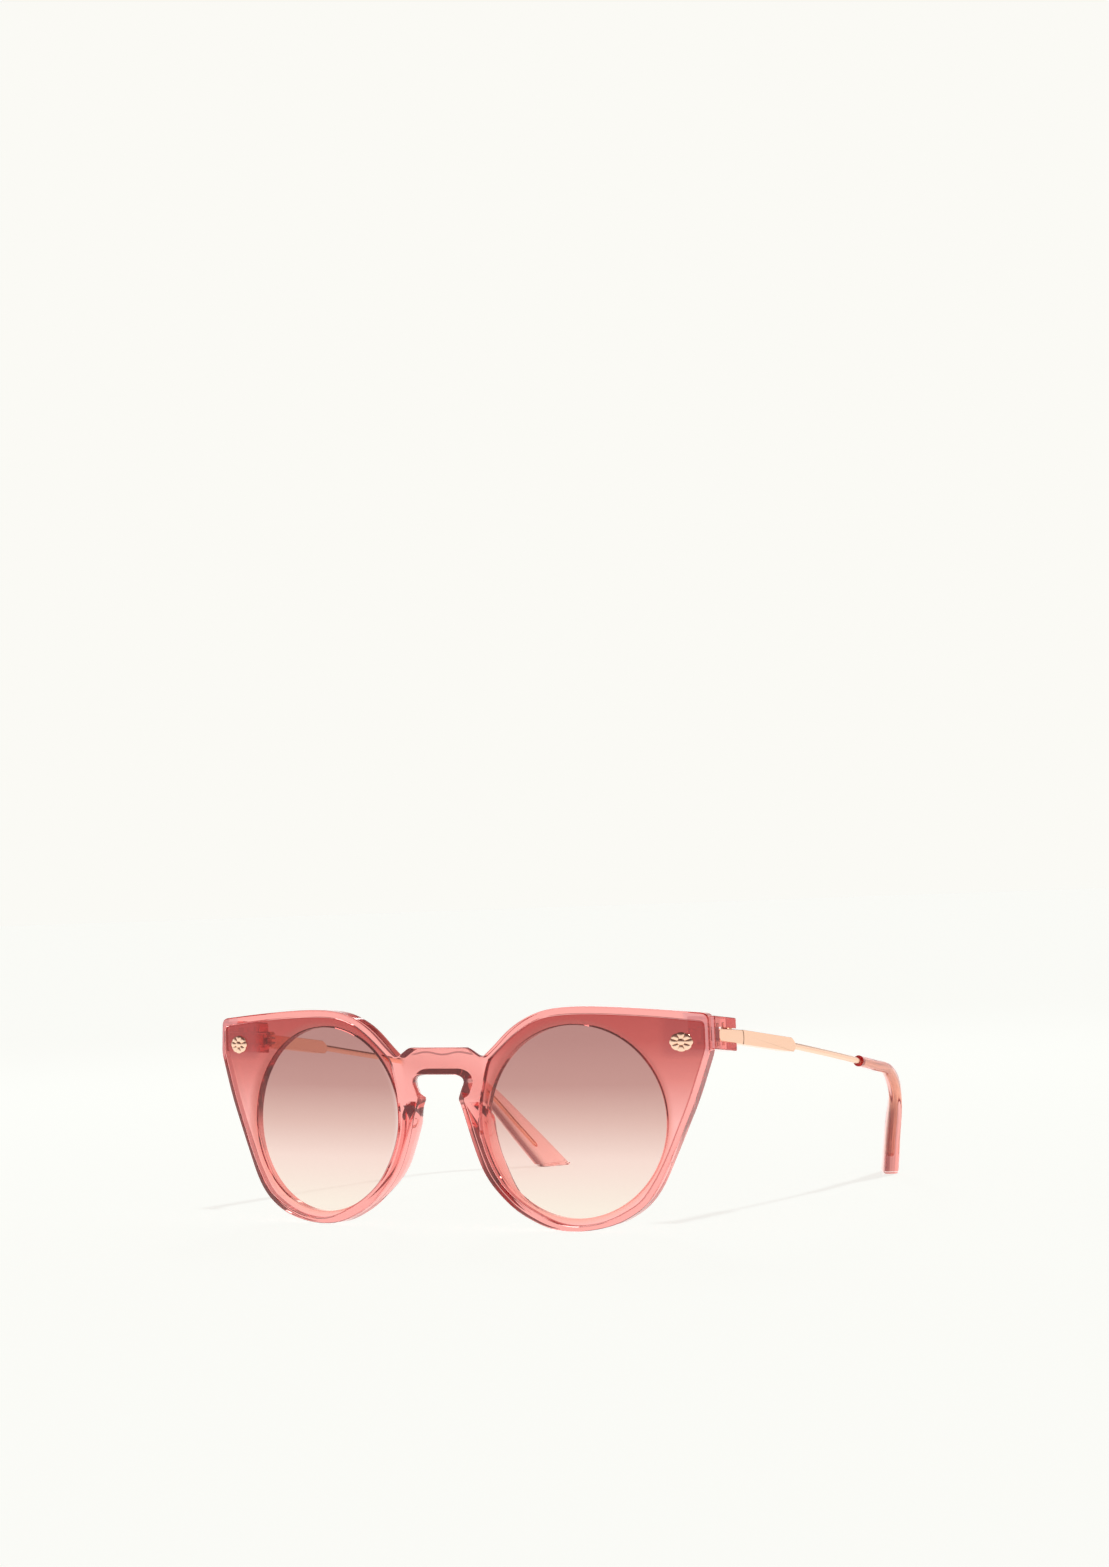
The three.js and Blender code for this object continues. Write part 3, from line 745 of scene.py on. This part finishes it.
def washer(low, high):
    """Flat ring between two knuckles, with softened rims."""
    inner, outer, soft = PIN_RADIUS + 0.06, KNUCKLE_RADIUS - 0.02, 0.05
    profile = [(inner, low + soft), (inner + soft, low), (outer - soft, low), (outer, low + soft),
               (outer, high - soft), (outer - soft, high), (inner + soft, high), (inner, high - soft)]
    return lathe("washer", profile, count=64, hollow=True)


def bracket_pin(y):
    """Upright pin that holds the bracket in its slot."""
    x, radius, low, high, soft = BRACKET_PIN.values()
    profile = [(radius - soft, low), (radius, low + soft), (radius, high - soft), (radius - soft, high)]
    return lathe("bracket_pin", profile, lambda u, v, z: to_world((x + u, y + v, z)), 40)


def temple_wire():
    """The wire from the sleeve to the tip, stepping down to the core inside the tip."""
    outside = resampled(spline_points(WIRE_KNOTS + [TIP_KNOTS[1]], 20), 0.8, closed=False)
    outside = outside[outside[:, 1] < TIP_KNOTS[0][1] + 1.2]
    within = resampled(spline_points(TIP_KNOTS, 24), 0.8, closed=False)
    within = within[2:int(len(within) * CORE_SHARE)]
    path = np.vstack([outside, within[within[:, 1] > outside[-1][1] + 0.5]])
    core = CORE_NECK + (CORE_RADIUS - CORE_NECK) * smoothstep(path[:, 1], TIP_KNOTS[1][1], TIP_KNOTS[3][1])
    radii = np.where(path[:, 1] < TIP_KNOTS[0][1] + 1.0, WIRE_RADIUS, core)
    radii[0] = WIRE_RADIUS - 0.15
    radii[-1] = CORE_RADIUS * 0.5
    rings = sweep(path, [[(r * cos(t), r * sin(t)) for t in around(32)] for r in radii])
    return skin("temple_wire", [[to_world(p) for p in ring] for ring in rings])


def temple_tip():
    """Clear tip: round at the mouth, flaring to a tall paddle that is cut off level."""
    path = resampled(spline_points(TIP_KNOTS, 24), 0.55, closed=False)
    count = 48
    shares = np.linspace(0, 1, len(path))
    sections = []
    for share in shares:
        flare = smoothstep(share, 0.22, 1.0)
        width = TIP_MOUTH + (TIP_HALF_THICKNESS - TIP_MOUTH) * smoothstep(share, 0.1, 0.9)
        height = width + (TIP_HALF_HEIGHT - width) * flare
        power = 1 - 0.45 * smoothstep(share, 0.1, 0.6)
        sections.append([(width * blunt(cos(t), power), height * blunt(sin(t), power))
                         for t in around(count)])
    rays = np.array([[tuple(p) for p in ring] for ring in sweep(path, sections)])
    floor = -SHIFT.z
    ends = []
    for k in range(count):
        z = rays[:, k, 2]
        last = int(np.argmax(z < floor))
        part = (z[last - 1] - floor) / (z[last - 1] - z[last])
        ends.append(shares[last - 1] + part * (shares[last] - shares[last - 1]))
    # Rings run down each ray to where it meets the floor; the last ones round the foot's rim.
    grid = []
    for step in np.concatenate([[0.0], np.linspace(0.002, 0.985, 84), [1.0]]):
        grid.append([[np.interp(step * ends[k], shares, rays[:, k, axis]) for axis in range(3)]
                     for k in range(count)])
    grid = np.array(grid)
    foot = grid[-1]
    middle = foot.mean(0)
    rim = []
    for rise, inset in rounding(TIP_SOFT, 5)[1:]:
        pulled = foot + (middle - foot) * (inset / np.linalg.norm(middle - foot, axis=1))[:, None]
        rim.append(np.column_stack([pulled[:, :2], np.full(count, floor + rise)]))
    slope = TIP_SOFT / np.maximum(grid[-2][:, 2] - floor, 1e-6)
    above = foot + (grid[-2] - foot) * slope[:, None]
    mouth = grid[0]
    lead = mouth + (mouth.mean(0) - mouth) * 0.1
    rings = [lead, mouth + (grid[1] - mouth) * 0.5, *grid[1:-1], above, *rim]
    return skin("temple_tip", [[to_world(p) for p in ring] for ring in rings])


# ---- materials ----
class Tree:
    """The nodes of a material or world, with short ways to add and join them."""

    def __init__(self, owner, output):
        owner.use_nodes = True
        self.nodes = owner.node_tree.nodes
        self.links = owner.node_tree.links
        self.nodes.clear()
        self.out = self.add(output)

    def put(self, value, socket):
        """Sets a socket to a plain value or joins it to another socket."""
        if isinstance(value, bpy.types.NodeSocket):
            self.links.new(value, socket)
        elif socket.type == "RGBA":
            socket.default_value = (*value, 1)
        else:
            socket.default_value = value

    def add(self, kind, inputs=None, **settings):
        """A node with its settings made and its inputs filled."""
        node = self.nodes.new("ShaderNode" + kind)
        for key, value in settings.items():
            setattr(node, key, value)
        for key, value in (inputs or {}).items():
            self.put(value, node.inputs[key])
        return node

    def shader(self, kind, **inputs):
        """A shader node's output. Inputs are named with underscores for spaces."""
        named = {key.replace("_", " "): value for key, value in inputs.items()}
        return self.add(kind, named).outputs[0]

    def math(self, operation, *values):
        return self.add("Math", dict(enumerate(values)), operation=operation).outputs["Value"]

    def product(self, first, *others):
        for other in others:
            first = self.math("MULTIPLY", first, other)
        return first

    def fade(self, value, off, on, full=1.0):
        """Nothing at one value, changing smoothly to full at the other."""
        given, wanted = ((off, on), (0.0, full)) if off < on else ((on, off), (full, 0.0))
        return self.ramp(value, given, wanted)

    def ramp(self, value, given, wanted, kind="SMOOTHSTEP"):
        """A value moved from one range to another."""
        inputs = {"Value": value, "From Min": given[0], "From Max": given[1],
                  "To Min": wanted[0], "To Max": wanted[1]}
        return self.add("MapRange", inputs, interpolation_type=kind).outputs["Result"]

    def window(self, value, low, high, soft):
        """One between two values, fading to zero outside them."""
        return self.product(self.fade(value, low - soft, low), self.fade(value, high + soft, high))

    def mix(self, share, first, second, blend="MIX"):
        inputs = {"Fac": share, "Color1": first, "Color2": second}
        return self.add("MixRGB", inputs, blend_type=blend).outputs["Color"]

    def mix_shader(self, share, first, second):
        return self.add("MixShader", {0: share, 1: first, 2: second}).outputs["Shader"]

    def gradient(self, value, stops):
        """Colour ramp from (share, colour) stops."""
        node = self.add("ValToRGB", {"Fac": value})
        elements = node.color_ramp.elements
        for share, _ in stops[1:-1]:
            elements.new(share)
        for element, (share, colour) in zip(elements, stops):
            element.position, element.color = share, (*colour, 1)
        return node.outputs["Color"]

    def noise(self, scale, detail=2, stretch=(1, 1, 1)):
        vector = self.add("TexCoord").outputs["Object"]
        vector = self.add("Mapping", {"Vector": vector, "Scale": stretch}).outputs["Vector"]
        return self.add("TexNoise", {"Vector": vector, "Scale": scale, "Detail": detail}).outputs["Fac"]

    def bump(self, height, strength, distance):
        inputs = {"Height": height, "Strength": strength, "Distance": distance}
        return self.add("Bump", inputs).outputs["Normal"]

    def find_surface(self):
        """Where a point is in the drawing's millimetres, and how its surface faces."""
        spot = self.add("SeparateXYZ", {"Vector": self.add("TexCoord").outputs["Object"]}).outputs
        geometry = self.add("NewGeometry").outputs
        turned = self.add("SeparateXYZ", {"Vector": geometry["True Normal"]}).outputs
        self.side = self.math("ABSOLUTE", self.math("DIVIDE", spot["X"], MM))
        self.depth = self.math("DIVIDE", spot["Y"], MM)
        self.above_floor = self.math("DIVIDE", spot["Z"], MM)
        self.height = self.math("SUBTRACT", self.above_floor, SHIFT.z)
        self.sideways = self.math("ABSOLUTE", turned["X"])
        self.forwards = self.math("ABSOLUTE", turned["Y"])
        self.seen_inside = geometry["Backfacing"]
        self.seen_outside = self.math("SUBTRACT", 1, self.seen_inside)

    def finish(self, surface, volume=None):
        self.put(surface, self.out.inputs["Surface"])
        if volume:
            self.put(volume, self.out.inputs["Volume"])


def new_material(name):
    material = bpy.data.materials.new(name)
    return material, Tree(material, "OutputMaterial")


def clear_pink(name, tint, density, detail):
    """Polished clear plastic. Its colour deepens with the length of the light's path.

    The detail function adds what differs from place to place. It returns four shares, each a
    socket or zero: satin finish, painted shade, deep tint (a painted shade on the tips), and a
    painted milky glow where parts are joined.
    """
    material, tree = new_material(name)
    tree.find_surface()
    satin, painted_shade, deeper, painted_joint_glow = detail(tree)
    polish = tree.ramp(tree.noise(120), (0, 1), (0.005, 0.03))
    roughness = tree.math("ADD", polish, tree.math("MULTIPLY", satin, 0.24))
    clear = tree.shader("BsdfPrincipled", Transmission_Weight=1, IOR=1.49, Roughness=roughness,
                        Base_Color=tree.mix(deeper, tint, (0.15, 0.05, 0.055)))
    # Past six bounces the plastic shows a painted glow, an even deep pink standing in for the light held
    # inside.
    painted_glow = tree.shader("Emission", Color=(0.5, 0.1, 0.11))
    many_bounces = tree.math("GREATER_THAN", tree.add("LightPath").outputs["Ray Depth"], 6.5)
    look = tree.mix_shader(many_bounces, clear, painted_glow)
    # Steep inner walls turn the view away from the light; their dark look is painted shade.
    look = tree.mix_shader(painted_shade, look, tree.shader("Emission", Color=(0.13, 0.035, 0.042)))
    # Where two parts are joined, a painted milky pink glow stands in for the light the joint scatters and
    # hides what lies behind it.
    look = tree.mix_shader(painted_joint_glow, look, tree.shader("Emission", Color=(0.8, 0.36, 0.36)))
    tree.finish(look, tree.shader("VolumeAbsorption", Color=(0.92, 0.22, 0.18), Density=density))
    return material


def front_detail(tree):
    """Satin back of the bridge, a painted glow on the joined end blocks, and painted shade on the keyhole
    walls, shoulders, pad tops and brows.

    Sideways reach, depth and height fade over ranges in the drawing's millimetres.
    """
    fade, window, product, calc = tree.fade, tree.window, tree.product, tree.math
    side, depth, height = tree.side, tree.depth, tree.height
    inner, outer = tree.seen_inside, tree.seen_outside
    flat = fade(tree.forwards, 0.9, 0.96)
    satin = product(flat, inner, fade(side, 13, 10.5), fade(height, 29, 31))
    block_front = bend((BLOCK["inner"], BLOCK["top"], 0)).y
    painted_joint_glow_mask = product(flat, outer, fade(side, 57, 61, 0.72), fade(height, 39, 41.6),
                   fade(depth, block_front + 0.1, block_front + 0.3))
    # Painted shade on the steep side walls of the keyhole.
    wall = product(inner, fade(tree.sideways, 0.5, 0.7), window(side, 4.6, 7.6, 0.4),
                   window(height, 30.4, 36.6, 0.5))
    # Painted shade in a wedge that narrows downwards and splays towards the back, at the top of each nose
    # pad.
    u, low, high, half_width, splay = PAD_TOP.values()
    back = bend((u, high, FRONT_DEPTH)).y
    middle = calc("ADD", product(calc("SUBTRACT", depth, back), splay), u)
    away = calc("ABSOLUTE", calc("SUBTRACT", side, middle))
    half = product(calc("SUBTRACT", height, low), half_width / (high - low))
    wedge = product(inner, fade(calc("SUBTRACT", half, away), 0.0, 0.2),
                    fade(height, high + 0.1, high - 0.1), fade(depth, back - 1.2, back - 0.8))
    above_keyhole = fade(height, 39.6, 40.2)
    # Painted shade on the bevelled shoulders above the keyhole.
    shoulder = product(inner, fade(tree.forwards, 0.97, 0.9), window(side, 8.4, 12.2, 0.4), above_keyhole)
    # The rounded front edge from the bridge up to the brows gets a dark line of painted shade.
    brow_front = bend((10, 41, 0)).y
    brow = product(outer, fade(tree.forwards, 0.85, 0.55, 0.75), window(side, 8.6, 21, 4),
                   above_keyhole, fade(depth, brow_front + 1.6, brow_front + 1.0))
    # A fine wavy line of painted shade runs under the top edge of the bridge.
    wavelength, swing, line_height = 9.5, 0.3, 41.25
    wave = calc("COSINE", product(side, tau / wavelength))
    line = calc("SUBTRACT", line_height, product(wave, swing))
    beside = calc("ABSOLUTE", calc("SUBTRACT", height, line))
    painted_shade = product(inner, flat, fade(beside, 0.32, 0.12, 0.6), fade(side, 9.5, 8))
    for region in (wall, wedge, shoulder, brow):
        painted_shade = calc("MAXIMUM", painted_shade, region)
    # The outer strip beside the lens looks through the whole length of the block.
    strip = product(outer, fade(depth, block_front + 6.2, block_front + 5.0, 0.5),
                    fade(side, 69.4, 70.0), window(height, 41.6, 49.6, 0.5))
    return satin, product(painted_shade, 0.88), strip, painted_joint_glow_mask


def tip_detail(tree):
    """Painted shade: a deeper tint on the narrow forward edge of the part that hangs behind the ear."""
    hanging = tree.window(tree.above_floor, 2, 17, 9)
    return 0, 0, tree.product(tree.fade(tree.forwards, 0.5, 0.78), hanging, tree.seen_outside), 0


def gradient_lens():
    """Tinted lens, deep rose brown at the top and fading to pale peach at the bottom.

    Over the rim the tint is warmer at the top and clears sooner; the difference is painted light standing
    in for light scattered in the pink frame behind.
    """
    material, tree = new_material("gradient_lens")
    tree.find_surface()
    up = tree.math("DIVIDE", tree.above_floor, 50)
    middle = tree.gradient(up, [
        (0.1, (1.0, 0.89, 0.8)), (0.33, (0.97, 0.74, 0.685)), (0.5, (0.77, 0.5, 0.455)),
        (0.68, (0.565, 0.3, 0.275)), (0.88, (0.5, 0.245, 0.23))])
    # Over the rim the lens's tint is changed by painted light.
    border = tree.gradient(up, [
        (0.3, (1.0, 1.0, 1.0)), (0.5, (1.0, 0.95, 0.95)), (0.7, (0.76, 0.48, 0.46)),
        (0.88, (0.56, 0.22, 0.21)), (1.0, (0.52, 0.18, 0.175))])
    # The opening's ellipse: the reach is one on its edge and more over the rim.
    squares = []
    for place, axis, half in ((tree.side, "u", "half_width"), (tree.height, "v", "half_height")):
        share = tree.math("DIVIDE", tree.math("SUBTRACT", place, APERTURE[axis]), APERTURE[half])
        squares.append(tree.product(share, share))
    over_rim = tree.fade(tree.math("ADD", *squares), 1.0, 1.16)
    # The polished edge of the lens is given a painted shade, darker than its faces.
    brim = tree.fade(tree.forwards, 0.97, 0.85)
    tint = tree.mix(brim, tree.mix(over_rim, middle, border), (0.5, 0.16, 0.16))
    # Light passes two faces, so each face takes the square root of the tint.
    face = tree.add("Gamma", {"Color": tint, "Gamma": 0.5}).outputs["Color"]
    clear = tree.shader("BsdfTransparent", Color=face)
    gloss = tree.shader("BsdfGlossy", Roughness=0.03, Normal=tree.bump(tree.noise(90, 3), 0.02, 0.00003))
    shine = tree.product(tree.shader("Fresnel", IOR=1.5), tree.seen_outside)
    tree.finish(tree.mix_shader(shine, clear, gloss))
    return material


def rose_gold():
    """Polished rose gold plating with faint lengthwise polishing lines."""
    material, tree = new_material("rose_gold_metal")
    tree.find_surface()
    grain = tree.noise(1, 4, (4000, 120, 4000))
    tone = tree.mix(grain, (0.95, 0.64, 0.47), (0.97, 0.69, 0.53))
    # The broad flat sides are polished along their length; where they face sideways they take a painted
    # shade a little deeper.
    tone = tree.mix(tree.fade(tree.sideways, 0.93, 0.99), tone, (0.93, 0.86, 0.83), "MULTIPLY")
    tree.finish(tree.shader("BsdfPrincipled", Metallic=1, Base_Color=tone,
                            Roughness=tree.ramp(grain, (0, 1), (0.16, 0.3), "LINEAR"),
                            Normal=tree.bump(grain, 0.08, 0.00005)))
    return material


def washer_polymer():
    """Matt off-white washer plastic."""
    material, tree = new_material("washer_polymer")
    grain = tree.noise(900, 3)
    tree.finish(tree.shader("BsdfPrincipled", Base_Color=(0.86, 0.82, 0.74),
                            Roughness=tree.ramp(grain, (0, 1), (0.45, 0.6), "LINEAR"),
                            Normal=tree.bump(grain, 0.2, 0.00005)))
    return material


# ---- assembly ----
PINK = "clear_pink_plastic", clear_pink("clear_pink_front", (0.97, 0.6, 0.58), 150, front_detail)
PALE_PINK = "clear_pink_plastic", clear_pink("clear_pink_tip", (0.98, 0.82, 0.79), 140, tip_detail)
TINT = "gradient_lens", gradient_lens()
GOLD = "rose_gold_metal", rose_gold()
POLYMER = "washer_polymer", washer_polymer()
# Only the temples block the sun; light scattered through the clear front fills its own shadow.
CASTERS = bpy.data.collections.new("shadow_casters")


def place_piece(name, mesh, body, look, nodes, degrees=32, bent=False):
    """Adds one visible piece, on its body and in place of its CAD solids."""
    obj = add_object(name, mesh)
    if body != "front":
        CASTERS.objects.link(obj)
    slot, material = look
    mesh.name = name
    mesh.materials.clear()
    mesh.materials.append(material)
    shade(mesh, degrees, bent)
    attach(obj, body)
    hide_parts(*nodes)


def place_pair(name, mesh, body, look, degrees=32, bent=False):
    for side, sign in SIDES.items():
        own = mesh if sign > 0 else mirrored_mesh(mesh, name)
        place_piece(f"{name}_{side}_look", own, body.format(side=side), look, [f"{name}_{side}"],
                    degrees, bent)


place_piece("front_moulding", front_moulding(), "front", PINK,
            ["frame_front", "nose_pad_left", "nose_pad_right"], bent=True)
place_pair("lens", lens(), "front", TINT, bent=True)
place_pair("trim_stud", stud(), "front", GOLD, 40)
place_pair("hinge_bracket", hinge_bracket(), "front", GOLD)
place_pair("hinge_screw", hinge_screw(), "front", GOLD)
place_pair("temple_sleeve", temple_sleeve(), "{side}_temple", GOLD)
place_pair("temple_wire", temple_wire(), "{side}_temple", GOLD, 50)
place_pair("temple_tip", temple_tip(), "{side}_temple", PALE_PINK, 40)
for place, heights in WASHERS.items():
    place_pair(f"{place}_hinge_washer", washer(*heights), "front", POLYMER)
for place, y in BRACKET_PINS.items():
    place_pair(f"{place}_bracket_pin", bracket_pin(y), "front", GOLD)


# ---- floor, light and camera ----
PALE = (0.965, 0.957, 0.913)


def add_floor(size=6.0):
    """A pale floor in the backdrop's colour."""
    mesh = bpy.data.meshes.new("floor")
    corners = [(-size, -size, 0), (size, -size, 0), (size, size, 0), (-size, size, 0)]
    mesh.from_pydata(corners, [], [(0, 1, 2, 3)])
    floor = add_object("floor", mesh)
    material, tree = new_material("pale_floor")
    # The floor is a little brighter as a light source than as it is seen.
    seen = tree.math("MULTIPLY", tree.add("LightPath").outputs["Is Camera Ray"], -0.15)
    glow = tree.shader("Emission", Color=PALE, Strength=tree.math("ADD", seen, 0.97))
    matt = tree.shader("BsdfDiffuse", Color=(0.34, 0.405, 0.4))
    tree.finish(tree.add("AddShader", {0: matt, 1: glow}).outputs["Shader"])
    mesh.materials.append(material)


def add_world():
    """Soft studio surround: bright behind and below, dim on the camera's side, dark overhead."""
    world = bpy.data.worlds.new("studio")
    bpy.context.scene.world = world
    tree = Tree(world, "OutputWorld")
    way = tree.add("SeparateXYZ", {"Vector": tree.add("TexCoord").outputs["Generated"]}).outputs
    back = tree.ramp(way["Y"], (-0.5, 0.1), (0.9, 1.15))
    above = tree.gradient(way["Z"], [
        (0.2, (1.0, 0.99, 0.96)), (0.37, (0.24, 0.15, 0.15)), (1.0, (0.08, 0.045, 0.045))])
    light = tree.shader("Background", Color=above, Strength=back)
    plain = tree.shader("Background", Color=PALE)
    tree.finish(tree.mix_shader(tree.add("LightPath").outputs["Is Camera Ray"], light, plain))


def add_camera():
    """The photograph's viewpoint: to the wearer's left of straight ahead, a little above the glasses."""
    azimuth, elevation, roll = radians(32.133), radians(-1.804), radians(-2.372)
    distance, across, up_by = 702.73, 27.387, 105.994
    right = Vector((cos(azimuth), sin(azimuth), 0))
    aim = Vector((-sin(azimuth) * cos(elevation), cos(azimuth) * cos(elevation),
                  -sin(elevation)))
    up = right.cross(aim)
    side = right * cos(roll) + up * sin(roll)
    top = up * cos(roll) - right * sin(roll)
    centre = to_world(side * across + top * up_by - aim * distance) * MM
    camera = add_object("camera", bpy.data.cameras.new("camera"))
    turned = Matrix((side, top, -aim)).transposed().to_4x4()
    camera.matrix_world = Matrix.Translation(centre) @ turned
    camera.data.sensor_width = 36
    camera.data.lens = 67.712
    camera.data.clip_start = 0.01
    bpy.context.scene.camera = camera


def add_key_light():
    """A broad soft light from above, for clean highlights and a faint floor shadow."""
    data = bpy.data.lights.new("key", "SUN")
    data.energy = 0.9
    data.angle = radians(4)
    light = add_object("key", data)
    light.rotation_euler = (0, radians(24), radians(6))
    light.light_linking.blocker_collection = CASTERS


def add_softbox():
    """A bright panel above and behind, for glints along the clear edges."""
    data = bpy.data.lights.new("softbox", "AREA")
    data.energy = 0.3
    data.size = 0.16
    light = add_object("softbox", data)
    light.location = (-0.35, 0.5, 0.45)
    light.rotation_euler = (-light.location).to_track_quat("-Z", "Y").to_euler()


add_floor()
add_world()
add_key_light()
add_softbox()
add_camera()
scene = bpy.context.scene
scene.view_settings.view_transform = "Standard"
scene.cycles.max_bounces = 20
scene.cycles.transmission_bounces = 18
scene.cycles.glossy_bounces = 8
scene.cycles.transparent_max_bounces = 16
scene.cycles.use_denoising = True
